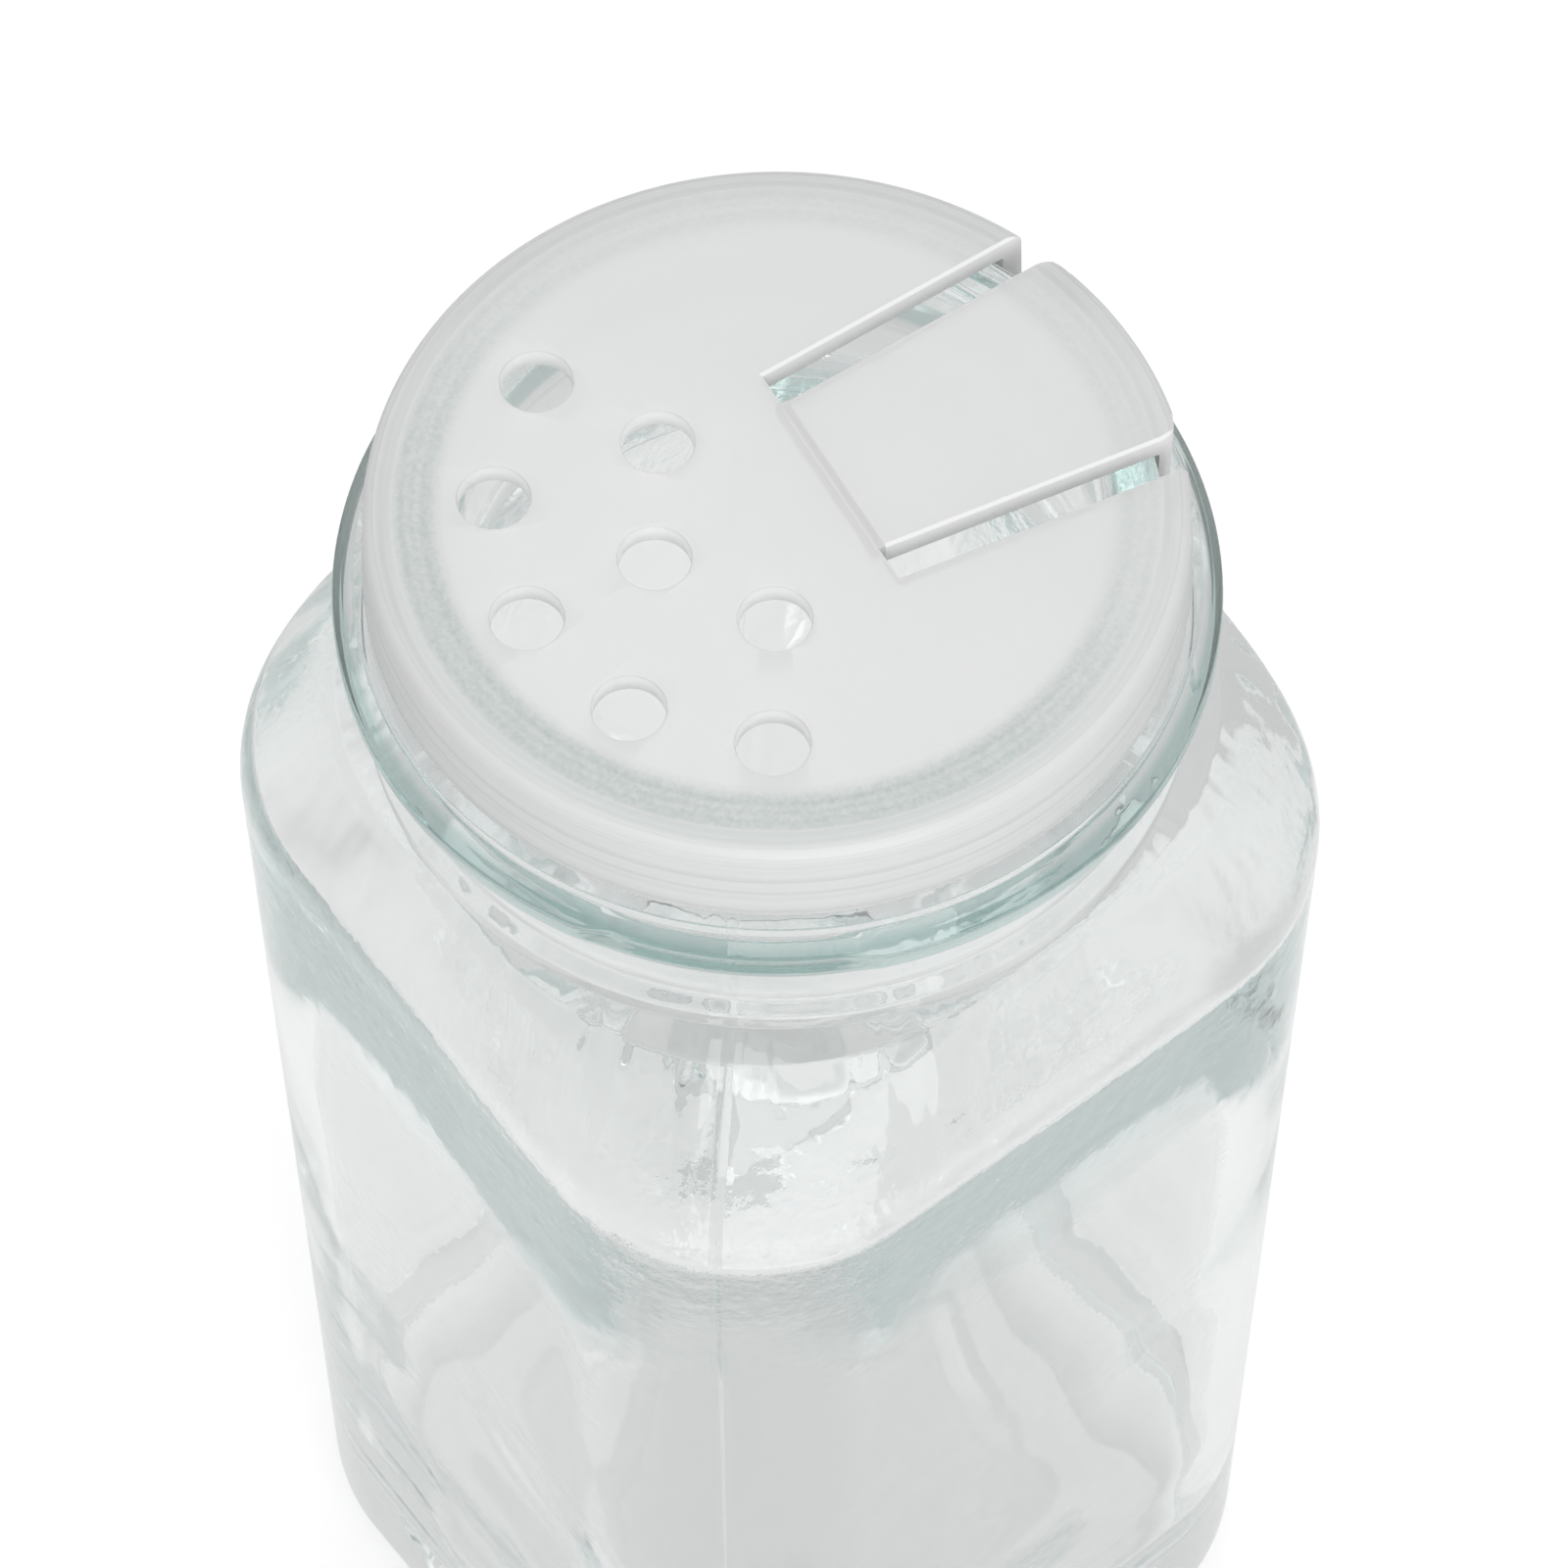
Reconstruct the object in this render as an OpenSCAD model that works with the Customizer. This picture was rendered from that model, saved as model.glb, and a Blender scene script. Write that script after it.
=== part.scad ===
// Square glass spice jar with a shaker insert snapped over its mouth.
// Millimetres. Z points up, the origin is the middle of the jar's underside,
// and the four flat walls of the jar face +X, -X, +Y and -Y.

/* [Glass body] */
// Width of the square body across its flat walls
body_w = 44.5; // [38:0.5:60]
// Height of the glass from the table to the top of the lip
jar_h = 104.4; // [80:0.2:160]
// Radius of the four upright edges
corner_r = 11.4; // [9:0.1:13]
// Thickness of the glass walls
wall_t = 2.7; // [2:0.1:3.4]
// Thickness of the glass floor above the table
base_t = 4.6; // [3.6:0.1:8]
// Radius of the rounded heel round the foot
heel_r = 4.7; // [3:0.1:6]
// Height of the hollow under the foot
push_up = 1.2; // [0.5:0.1:2]
// Radius of the hollow under the foot
push_up_r = 13.5; // [10:0.5:14]
// Height of the shoulder from the wall to the foot of the neck
shoulder_h = 11.1; // [8:0.1:16]

/* [Neck] */
// Radius of the plain neck
neck_r = 19.3; // [18.8:0.1:19.5]
// Radius of the mouth
mouth_r = 15; // [13:0.1:16]
// Radius of the collar just under the insert's skirt
collar_r = 19.8; // [19.5:0.05:20.2]
// Radius of the closure bead, over which a lid goes
bead_r = 20.85; // [20.4:0.05:21.2]
// Height of the closure bead along the neck
bead_h = 2.7; // [2:0.1:3.2]
// Radius of the lower bead at the foot of the neck
ring_r = 19.9; // [19.6:0.05:20.2]
// Height of the lower bead along the neck
ring_h = 2.2; // [1.6:0.1:2.6]
// Depth from the lip down to the collar
collar_drop = 3.8; // [3.5:0.1:5]
// Depth from the lip down to the closure bead
bead_drop = 4.5; // [4.3:0.1:6]
// Depth from the lip down to the foot of the neck
neck_drop = 13.6; // [11.5:0.1:18]
// Radius of the lip that the insert snaps over
lip_r = 17.9; // [17.5:0.05:18.2]
// Radius of the groove under the lip
groove_r = 17.5; // [17.1:0.05:17.6]
// Height of the full part of the lip
lip_h = 1.7; // [1.2:0.1:2]

/* [Shaker insert] */
// Thickness of the plate
plate_t = 1.3; // [1:0.05:1.8]
// Thickness of the skirt at its top
skirt_t = 1; // [0.8:0.05:1.2]
// Outward flare of the skirt from its top to its edge
skirt_flare = 0.3; // [0.1:0.05:0.4]
// Radius of the plate's rounded outer edge
rim_round = 0.8; // [0.4:0.05:0.9]
// Radial gap between the skirt's snap bead and the lip
snap_gap = 0.08; // [0.04:0.01:0.1]
// Gap between the skirt's edge and the collar
skirt_gap = 0.3; // [0.2:0.05:0.6]
// Diameter of the sprinkle holes
hole_d = 3.4; // [2:0.1:4]
// Radius of the circle through the five outer holes
outer_hole_circle = 13; // [12:0.1:13.2]
// Radius of the circle through the three inner holes
inner_hole_circle = 6.4; // [5:0.1:7.5]
// Direction of the pour flap, turned from +Y
insert_turn = -9.4; // [-45:0.1:45]

/* [Pour flap] */
// Distance of the hinge line from the middle of the plate
hinge_offset = 2.8; // [2:0.1:6]
// Width of the flap at the hinge line
flap_w = 9.2; // [7:0.1:11]
// Width of each slot beside the flap
slot_w = 1.8; // [1:0.1:2.2]
// Angle by which each side of the flap opens towards the rim
flap_splay = 4.5; // [0:0.5:6]
// Width of the thin strip that the flap bends on
web_w = 0.6; // [0.4:0.1:1]
// Thickness of the thin strip
web_t = 0.45; // [0.3:0.05:0.6]

/* [Hidden] */

// Smoothness of true circles, and of the hulls' round corners
round_fn = 96;
hull_fn = 32;

// Heights up from the table
foot_z = push_up;
plate_under_z = jar_h;
plate_top_z = jar_h + plate_t;
neck_foot_z = jar_h - neck_drop;
wall_top_z = neck_foot_z - shoulder_h;

// Shoulder: the outline grows from a nearly round one at the neck to the body's
half_w = body_w / 2;
shoulder_steps = 7;
shoulder_ledge = 0.3;
shoulder_top_half = neck_r + shoulder_ledge;
shoulder_top_corner = 16.7;
shoulder_fullness = 1.12;
slice_t = 0.05;
foot_steps = 5;

// Inside of the glass
bore_widening = 0.4;
neck_bore_r = mouth_r + bore_widening;
bore_flare_h = 3;
bore_taper_h = 2;
mouth_ease = 0.6;
inner_half = half_w - wall_t;
inner_corner = corner_r - wall_t;
inner_floor_r = 4;
inner_shoulder_drop = 0.6 * wall_t;
inner_wall_drop = 0.4 * wall_t;
inner_shoulder_top_z = neck_foot_z - inner_shoulder_drop;
inner_wall_top_z = wall_top_z - inner_wall_drop;
inner_shoulder_steps = 5;

// Outline of the neck: where it starts inside the body, and how its edges are eased
neck_overlap = 2;
ring_rise = 0.2;
ring_slope = 0.3 * ring_h;
bead_slope = 0.35 * bead_h;
bead_slope_share = 0.6;
bead_lead = 0.4;
bead_top_lead = 0.12 * bead_h;
collar_ease = 0.15;
lip_round = 0.5;

// Insert
skirt_bead_r = lip_r + snap_gap;
skirt_play = 0.12;
skirt_inner_r = lip_r + skirt_play;
skirt_outer_r = skirt_inner_r + skirt_t;
skirt_foot_r = skirt_outer_r + skirt_flare;
skirt_foot_z = jar_h - collar_drop + skirt_gap;
snap_bead_h = 0.5;
snap_relief = 0.25;
snap_lead = 0.2;
rim_steps = 4;
outer_hole_angles = [-60, -30, 0, 30, 60];
inner_hole_angles = [-60, 0, 60];
cut_over = 1;
reach_past_skirt = 3;
reach = skirt_foot_r + reach_past_skirt;

// Half width of an outline that widens from a first to a last value
function grown(first, last, share) = first + (last - first) * share;

// Share of the shoulder's growth at a step from 0 at the neck to 1 at the wall
function swell(share) = pow(sin(90 * share), shoulder_fullness);

// One thin slice of a rounded square, for the hulls below
module slice(half, corner, top_z) {
    post = half - corner;
    for (x = [-post, post], y = [-post, post])
        translate([x, y, top_z - slice_t])
            cylinder(r = corner, h = slice_t, $fn = hull_fn);
}

// Four upright posts of a rounded square, each with a quarter-round foot
module footed_posts(half, corner, foot_r, low_z, high_z) {
    post = half - corner;
    foot = [
        for (k = [0 : foot_steps])
            let (a = 90 * k / foot_steps)
            [corner - foot_r * (1 - sin(a)), low_z + foot_r * (1 - cos(a))]
    ];
    for (x = [-post, post], y = [-post, post])
        translate([x, y, 0])
            rotate_extrude($fn = hull_fn)
                polygon(concat([[0, low_z]], foot, [[corner, high_z], [0, high_z]]));
}

// Outside of the body: a quarter-round heel, upright walls and the full shoulder
module body_outside() {
    hull() {
        footed_posts(half_w, corner_r, heel_r, 0, wall_top_z);
        for (k = [0 : shoulder_steps - 1]) {
            share = k / shoulder_steps;
            slice(
                grown(shoulder_top_half, half_w, swell(share)),
                grown(shoulder_top_corner, corner_r, swell(share)),
                neck_foot_z - shoulder_h * share
            );
        }
    }
}

// Inside of the body: a rounded floor, upright walls and a shoulder that
// closes in to the bore of the neck
module body_inside() {
    hull() {
        footed_posts(inner_half, inner_corner, inner_floor_r, base_t, inner_wall_top_z);
        for (k = [0 : inner_shoulder_steps - 1]) {
            share = k / inner_shoulder_steps;
            slice(
                grown(neck_bore_r, inner_half, swell(share)),
                grown(neck_bore_r, inner_corner, swell(share)),
                grown(inner_shoulder_top_z, inner_wall_top_z, share)
            );
        }
    }
}

// Neck, collar, both beads and the lip, turned as one outline round the axis
module neck_outside() {
    bead_top_z = jar_h - bead_drop;
    bead_foot_z = bead_top_z - bead_h;
    ring_foot_z = neck_foot_z + ring_rise;
    collar_z = jar_h - collar_drop;
    lip_under_z = jar_h - lip_h;
    rotate_extrude($fn = round_fn)
        polygon([
            [0, neck_foot_z - neck_overlap],
            [neck_r, neck_foot_z - neck_overlap],
            [neck_r, ring_foot_z],
            [ring_r, ring_foot_z + ring_slope],
            [ring_r, ring_foot_z + ring_h - ring_slope],
            [neck_r, ring_foot_z + ring_h],
            [neck_r, bead_foot_z - bead_lead],
            [grown(neck_r, bead_r, bead_slope_share), bead_foot_z],
            [bead_r, bead_foot_z + bead_slope],
            [bead_r, bead_top_z - bead_slope],
            [grown(collar_r, bead_r, bead_slope_share), bead_top_z - bead_top_lead],
            [collar_r, bead_top_z],
            [collar_r, collar_z - collar_ease],
            [collar_r - collar_ease, collar_z],
            [groove_r, collar_z],
            [groove_r, lip_under_z - (lip_r - groove_r)],
            [lip_r, lip_under_z],
            [lip_r, jar_h - lip_round],
            [lip_r - lip_round, jar_h],
            [0, jar_h]
        ]);
}

// Bore of the mouth and neck, with the lip's inner edge eased
module neck_bore() {
    taper_z = neck_foot_z + bore_flare_h;
    rotate_extrude($fn = round_fn)
        polygon([
            [0, inner_shoulder_top_z - cut_over],
            [neck_bore_r, inner_shoulder_top_z - cut_over],
            [neck_bore_r, taper_z],
            [mouth_r, taper_z + bore_taper_h],
            [mouth_r, jar_h - mouth_ease],
            [mouth_r + mouth_ease, jar_h],
            [mouth_r + mouth_ease, jar_h + cut_over],
            [0, jar_h + cut_over]
        ]);
}

// Shallow hollow under the foot, so that the jar stands on a ring
module foot_hollow() {
    rotate_extrude($fn = round_fn)
        polygon([
            [0, -cut_over],
            [push_up_r, -cut_over],
            [push_up_r, 0],
            [push_up_r - 2 * foot_z, foot_z],
            [0, foot_z]
        ]);
}

module glass_jar() {
    color([0.80, 0.87, 0.85, 0.5])
        difference() {
            union() {
                body_outside();
                neck_outside();
            }
            body_inside();
            neck_bore();
            foot_hollow();
        }
}

// The whole insert before it is cut: the plate with its rounded rim, and the skirt
module insert_blank() {
    rim = [
        for (k = [0 : rim_steps])
            let (a = 90 * k / rim_steps)
            [
                skirt_outer_r - rim_round * (1 - sin(a)),
                plate_top_z - rim_round * (1 - cos(a))
            ]
    ];
    rotate_extrude($fn = round_fn)
        polygon(concat(
            [
                [0, plate_under_z],
                [skirt_inner_r, plate_under_z],
                [skirt_inner_r, skirt_foot_z + snap_bead_h + 2 * snap_relief],
                [skirt_bead_r, skirt_foot_z + snap_bead_h + snap_relief],
                [skirt_bead_r, skirt_foot_z + snap_relief],
                [skirt_bead_r + snap_lead, skirt_foot_z],
                [skirt_foot_r, skirt_foot_z]
            ],
            [for (k = [rim_steps : -1 : 0]) rim[k]],
            [[0, plate_top_z]]
        ));
}

// Runs its children in the insert's own axes, with +X along the flap
module insert_axes() {
    rotate(90 + insert_turn)
        children();
}

// Wedge from the hinge line to past the rim, a given distance wider than the flap
module flap_wedge(start, wider) {
    start_half = flap_w / 2 + (start - hinge_offset) * tan(flap_splay) + wider;
    end_half = flap_w / 2 + (reach - hinge_offset) * tan(flap_splay) + wider;
    translate([0, 0, skirt_foot_z - cut_over])
        linear_extrude(plate_top_z - skirt_foot_z + 2 * cut_over)
            polygon([
                [start, -start_half],
                [reach, -end_half],
                [reach, end_half],
                [start, start_half]
            ]);
}

// The slots and the flap's place, all cut from the fixed part of the insert
module flap_opening() {
    flap_wedge(hinge_offset, slot_w);
    translate([hinge_offset - web_w / 2, -flap_w / 2, plate_under_z - cut_over])
        cube([web_w, flap_w, plate_t + 2 * cut_over]);
}

// Holes on part of a circle, on the side away from the flap
module hole_arc(circle, angles) {
    for (a = angles)
        rotate(180 + a)
            translate([circle, 0, plate_under_z - cut_over])
                cylinder(d = hole_d, h = plate_t + 2 * cut_over, $fn = round_fn);
}

module sprinkle_holes() {
    hole_arc(outer_hole_circle, outer_hole_angles);
    hole_arc(inner_hole_circle, inner_hole_angles);
}

module shaker_insert() {
    color([0.90, 0.92, 0.91, 0.8])
        insert_axes()
            difference() {
                insert_blank();
                flap_opening();
                sprinkle_holes();
            }
}

// Thin strip flush with the top of the plate, from the fixed part to the flap
module flap_hinge() {
    color([0.86, 0.89, 0.88, 0.8])
        insert_axes()
            translate([hinge_offset - web_w / 2, -flap_w / 2, plate_top_z - web_t])
                cube([web_w, flap_w, web_t]);
}

module pour_flap() {
    color([0.92, 0.94, 0.93, 0.8])
        insert_axes()
            intersection() {
                insert_blank();
                flap_wedge(hinge_offset + web_w / 2, 0);
            }
}

glass_jar();
shaker_insert();
flap_hinge();
pour_flap();
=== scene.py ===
import math

import bmesh
import bpy
from mathutils import Matrix, Vector


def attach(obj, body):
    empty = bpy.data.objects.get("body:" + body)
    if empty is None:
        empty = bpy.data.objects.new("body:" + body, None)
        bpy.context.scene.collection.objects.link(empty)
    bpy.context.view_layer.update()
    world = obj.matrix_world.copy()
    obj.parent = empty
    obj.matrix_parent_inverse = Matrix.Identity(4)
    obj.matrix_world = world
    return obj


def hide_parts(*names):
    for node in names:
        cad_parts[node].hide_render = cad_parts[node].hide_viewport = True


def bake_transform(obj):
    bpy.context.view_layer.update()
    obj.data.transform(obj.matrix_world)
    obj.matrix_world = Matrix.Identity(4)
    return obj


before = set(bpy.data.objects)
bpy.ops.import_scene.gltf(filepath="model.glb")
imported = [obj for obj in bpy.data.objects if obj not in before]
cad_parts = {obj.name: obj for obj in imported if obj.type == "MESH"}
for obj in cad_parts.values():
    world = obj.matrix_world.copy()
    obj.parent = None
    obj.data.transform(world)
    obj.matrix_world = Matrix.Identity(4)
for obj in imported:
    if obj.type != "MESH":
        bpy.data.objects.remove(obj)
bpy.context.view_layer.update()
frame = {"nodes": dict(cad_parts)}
scene = bpy.context.scene
mm = 0.001
print("frame loaded:", ", ".join(frame["nodes"]))

# ---- small helpers for nodes and meshes


def addNode(tree, kind, **settings):
    node = tree.nodes.new(kind)
    for name, value in settings.items():
        setattr(node, name, value)
    return node


def feed(tree, value, socket):
    # a socket is linked, a number or colour becomes the input's own value
    if isinstance(value, bpy.types.NodeSocket):
        tree.links.new(value, socket)
    else:
        socket.default_value = value


def calc(tree, operation, *values):
    node = addNode(tree, "ShaderNodeMath", operation=operation)
    for value, socket in zip(values, node.inputs):
        feed(tree, value, socket)
    return node.outputs[0]


def mapRange(tree, value, low, high, newLow, newHigh, smooth=True):
    node = addNode(tree, "ShaderNodeMapRange", interpolation_type="SMOOTHSTEP" if smooth else "LINEAR")
    for name, number in zip(("Value", "From Min", "From Max", "To Min", "To Max"), (value, low, high, newLow, newHigh)):
        feed(tree, number, node.inputs[name])
    return node.outputs["Result"]


def treeInputs(tree, wanted):
    for name, kind in wanted:
        tree.interface.new_socket(name, in_out="INPUT", socket_type=kind)


def setInputs(modifier, tree, values):
    for item in tree.interface.items_tree:
        if item.item_type == "SOCKET" and item.in_out == "INPUT" and item.name in values:
            modifier[item.identifier] = values[item.name]


def plainCopy(source, name):
    # the evaluated shape becomes a plain closed mesh with its faces pointing outwards
    bpy.context.view_layer.update()
    graph = bpy.context.evaluated_depsgraph_get()
    mesh = bpy.data.meshes.new_from_object(source.evaluated_get(graph))
    work = bmesh.new()
    work.from_mesh(mesh)
    bmesh.ops.remove_doubles(work, verts=work.verts, dist=0.000001)
    bmesh.ops.dissolve_degenerate(work, edges=work.edges, dist=0.0000005)
    if work.calc_volume(signed=True) < 0:
        bmesh.ops.reverse_faces(work, faces=work.faces)
    work.to_mesh(mesh)
    work.free()
    mesh.name = name
    made = bpy.data.objects.new(name, mesh)
    scene.collection.objects.link(made)
    return made


def throwAway(*objects):
    for obj in objects:
        bpy.data.objects.remove(obj, do_unlink=True)


def meshObject(name, points, faces):
    mesh = bpy.data.meshes.new(name)
    mesh.from_pydata(points, [], faces)
    obj = bpy.data.objects.new(name, mesh)
    scene.collection.objects.link(obj)
    return obj


# ---- the loft: sections that are round or square with round corners, stacked along an outline


def makeLoftTree():
    tree = bpy.data.node_groups.new("loftedSections", "GeometryNodeTree")
    treeInputs(tree, [
        ("Outline", "NodeSocketGeometry"), ("Segments", "NodeSocketInt"), ("Wave Length", "NodeSocketFloat"),
        ("Wave Seed", "NodeSocketFloat"), ("Seam Turn", "NodeSocketFloat"), ("Lean Turn", "NodeSocketFloat"),
        ("Material", "NodeSocketMaterial"),
    ])
    tree.interface.new_socket("Geometry", in_out="OUTPUT", socket_type="NodeSocketGeometry")
    given = addNode(tree, "NodeGroupInput").outputs
    rings = addNode(tree, "GeometryNodeAttributeDomainSize")
    feed(tree, given["Outline"], rings.inputs["Geometry"])
    ringCount = rings.outputs["Point Count"]
    grid = addNode(tree, "GeometryNodeMeshGrid")
    feed(tree, 1.0, grid.inputs["Size X"])
    feed(tree, 1.0, grid.inputs["Size Y"])
    feed(tree, ringCount, grid.inputs["Vertices X"])
    feed(tree, calc(tree, "ADD", given["Segments"], 1.0), grid.inputs["Vertices Y"])
    place = addNode(tree, "ShaderNodeSeparateXYZ")
    feed(tree, addNode(tree, "GeometryNodeInputPosition").outputs[0], place.inputs[0])
    ring = calc(tree, "ROUND", calc(tree, "MULTIPLY", calc(tree, "ADD", place.outputs["X"], 0.5), calc(tree, "SUBTRACT", ringCount, 1.0)))
    angle = calc(tree, "MULTIPLY", calc(tree, "ADD", place.outputs["Y"], 0.5), 2 * math.pi)

    def sampled(name):
        # the outline's own value at this ring
        field = addNode(tree, "GeometryNodeInputNamedAttribute", data_type="FLOAT")
        feed(tree, name, field.inputs["Name"])
        sample = addNode(tree, "GeometryNodeSampleIndex", data_type="FLOAT", domain="POINT", clamp=True)
        feed(tree, given["Outline"], sample.inputs["Geometry"])
        feed(tree, field.outputs["Attribute"], sample.inputs["Value"])
        feed(tree, ring, sample.inputs["Index"])
        return sample.outputs[0]

    half, corner, height = sampled("half"), sampled("corner"), sampled("height")
    cosine, sine = calc(tree, "COSINE", angle), calc(tree, "SINE", angle)
    across, along = calc(tree, "ABSOLUTE", cosine), calc(tree, "ABSOLUTE", sine)
    big, small = calc(tree, "MAXIMUM", across, along), calc(tree, "MINIMUM", across, along)
    post = calc(tree, "SUBTRACT", half, corner)
    flatReach = calc(tree, "DIVIDE", half, big)
    inside = calc(tree, "MULTIPLY", calc(tree, "MULTIPLY", post, post),
                  calc(tree, "SUBTRACT", calc(tree, "MULTIPLY", calc(tree, "MULTIPLY", across, along), 2.0), 1.0))
    inside = calc(tree, "MAXIMUM", calc(tree, "ADD", inside, calc(tree, "MULTIPLY", corner, corner)), 0.0)
    arcReach = calc(tree, "ADD", calc(tree, "MULTIPLY", post, calc(tree, "ADD", across, along)), calc(tree, "SQRT", inside))
    onArc = calc(tree, "GREATER_THAN", calc(tree, "MULTIPLY", small, half), calc(tree, "MULTIPLY", post, big))
    reach = calc(tree, "ADD", calc(tree, "MULTIPLY", flatReach, calc(tree, "SUBTRACT", 1.0, onArc)),
                 calc(tree, "MULTIPLY", arcReach, onArc))
    # the bead is cut down a little where the two halves of the mould met
    nearSeam = calc(tree, "COSINE", calc(tree, "MULTIPLY", calc(tree, "SUBTRACT", angle, given["Seam Turn"]), 2.0))
    reach = calc(tree, "SUBTRACT", reach, calc(tree, "MULTIPLY", sampled("relief"), mapRange(tree, nearSeam, 0.76, 0.88, 0.0, 1.0)))

    shape = addNode(tree, "GeometryNodeSetPosition")
    feed(tree, grid.outputs["Mesh"], shape.inputs["Geometry"])
    spot = addNode(tree, "ShaderNodeCombineXYZ")
    feed(tree, calc(tree, "MULTIPLY", reach, cosine), spot.inputs["X"])
    feed(tree, calc(tree, "MULTIPLY", reach, sine), spot.inputs["Y"])
    # a leaning ring is higher on one side than on the other
    toSide = calc(tree, "COSINE", calc(tree, "SUBTRACT", angle, given["Lean Turn"]))
    feed(tree, calc(tree, "SUBTRACT", height, calc(tree, "MULTIPLY", sampled("lean"), toSide)), spot.inputs["Z"])
    keepWave = addNode(tree, "GeometryNodeStoreNamedAttribute", data_type="FLOAT", domain="POINT")
    feed(tree, "wave", keepWave.inputs["Name"])
    feed(tree, sampled("wave"), keepWave.inputs["Value"])
    feed(tree, grid.outputs["Mesh"], keepWave.inputs["Geometry"])
    feed(tree, keepWave.outputs["Geometry"], shape.inputs["Geometry"])
    feed(tree, spot.outputs[0], shape.inputs["Position"])
    weld = addNode(tree, "GeometryNodeMergeByDistance")
    feed(tree, shape.outputs[0], weld.inputs["Geometry"])
    feed(tree, 0.000004, weld.inputs["Distance"])

    # slow waves pushed along the normals, as deep as the outline says
    noise = addNode(tree, "ShaderNodeTexNoise", noise_dimensions="4D")
    feed(tree, addNode(tree, "GeometryNodeInputPosition").outputs[0], noise.inputs["Vector"])
    feed(tree, given["Wave Seed"], noise.inputs["W"])
    feed(tree, calc(tree, "DIVIDE", 1.0, given["Wave Length"]), noise.inputs["Scale"])
    feed(tree, 1.5, noise.inputs["Detail"])
    waveField = addNode(tree, "GeometryNodeInputNamedAttribute", data_type="FLOAT")
    feed(tree, "wave", waveField.inputs["Name"])
    depth = calc(tree, "MULTIPLY", calc(tree, "SUBTRACT", noise.outputs[0], 0.5), waveField.outputs["Attribute"])
    push = addNode(tree, "ShaderNodeVectorMath", operation="SCALE")
    feed(tree, addNode(tree, "GeometryNodeInputNormal").outputs[0], push.inputs[0])
    feed(tree, depth, push.inputs["Scale"])
    waves = addNode(tree, "GeometryNodeSetPosition")
    feed(tree, weld.outputs[0], waves.inputs["Geometry"])
    feed(tree, push.outputs[0], waves.inputs["Offset"])
    smooth = addNode(tree, "GeometryNodeSetShadeSmooth")
    feed(tree, waves.outputs[0], smooth.inputs["Geometry"])
    real = addNode(tree, "GeometryNodeRealizeInstances")
    feed(tree, smooth.outputs[0], real.inputs["Geometry"])
    finish = addNode(tree, "GeometryNodeSetMaterial")
    feed(tree, real.outputs[0], finish.inputs["Geometry"])
    feed(tree, given["Material"], finish.inputs["Material"])
    out = addNode(tree, "NodeGroupOutput")
    feed(tree, finish.outputs[0], out.inputs[0])
    return tree


loftTree = makeLoftTree()


def loft(name, outline, material, segments, waveLength=0.01, waveSeed=0.0, seamTurn=0.0, leanTurn=0.0):
    # outline: rows of half width, corner radius, height, wave depth, seam relief and lean, in millimetres
    guide = meshObject(name + "Outline", [(0, 0, row[2] * mm) for row in outline], [])
    for column, key in enumerate(("half", "corner", "height", "wave", "relief", "lean")):
        layer = guide.data.attributes.new(key, "FLOAT", "POINT")
        layer.data.foreach_set("value", [row[column] * mm for row in outline])
    modifier = guide.modifiers.new("loft", "NODES")
    modifier.node_group = loftTree
    setInputs(modifier, loftTree, {
        "Segments": segments, "Wave Length": waveLength, "Wave Seed": waveSeed,
        "Seam Turn": math.radians(seamTurn), "Lean Turn": math.radians(leanTurn), "Material": material,
    })
    made = plainCopy(guide, name)
    throwAway(guide)
    return made


def roundOff(points, steps=5):
    # points of radius, height and fillet radius; each corner becomes an arc
    out = []
    for k, (r, z, fillet) in enumerate(points):
        here = Vector((r, z))
        if fillet <= 0 or k in (0, len(points) - 1):
            out.append((r, z))
            continue
        back = Vector(points[k - 1][:2]) - here
        ahead = Vector(points[k + 1][:2]) - here
        opening = back.angle(ahead)
        cut = min(fillet / math.tan(opening / 2), back.length * 0.48, ahead.length * 0.48)
        radius = cut * math.tan(opening / 2)
        middle = here + (back.normalized() + ahead.normalized()).normalized() * (radius / math.sin(opening / 2))
        start = here + back.normalized() * cut - middle
        end = here + ahead.normalized() * cut - middle
        sweep = start.angle_signed(end)
        for n in range(steps + 1):
            turn = -sweep * n / steps
            arm = Matrix.Rotation(turn, 2) @ start
            out.append(tuple(middle + arm))
    return out


def fillIn(points, longest):
    # extra points, so that no stretch of the outline is longer than this
    out = [points[0]]
    for a, b in zip(points, points[1:]):
        count = max(1, math.ceil(math.dist(a, b) / longest))
        out += [tuple(x + (y - x) * n / count for x, y in zip(a, b)) for n in range(1, count + 1)]
    return out


# ---- finishes


def newMaterial(name):
    material = bpy.data.materials.new(name)
    material.use_nodes = True
    return material, material.node_tree, material.node_tree.nodes["Principled BSDF"]


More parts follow.
